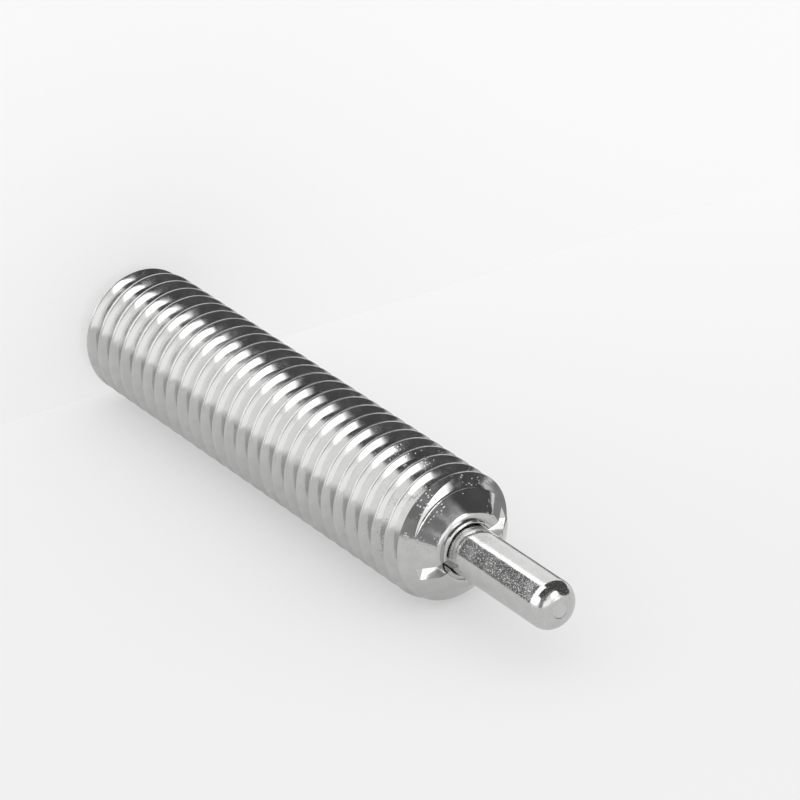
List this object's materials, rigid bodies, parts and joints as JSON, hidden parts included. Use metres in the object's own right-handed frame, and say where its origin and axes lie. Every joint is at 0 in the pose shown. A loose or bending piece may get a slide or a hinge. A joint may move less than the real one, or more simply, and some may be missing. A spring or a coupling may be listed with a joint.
{
  "type": "spring plunger",
  "caption": "Threaded spring plunger with a sprung round-nosed pin, a screwdriver slot at the nose and a hexagon socket at the rear.",
  "frame": {"origin": "centre of the flat ring of the socket end, which the part stands on", "axes": "+Z along the axis from the socket end to the pin's tip, +X along the screwdriver slot"},
  "size_m": [0.008, 0.008, 0.0435],
  "materials": {
    "sleeve_steel": "bright turned and polished stainless steel",
    "pin_steel": "ground stainless steel with a polished tip",
    "spring_wire": "drawn stainless spring wire"
  },
  "bodies": {
    "barrel": {"body": "sleeve_steel", "spring": "spring_wire"},
    "plunger": {"pin": "pin_steel"}
  },
  "joints": [
    {"name": "pin_slide", "type": "slide", "parent": "barrel", "child": "plunger", "axis": [0, 0, -1], "range_m": [0, 0.007], "stiffness_N_per_m": 3800, "deforming": ["spring"]}
  ]
}
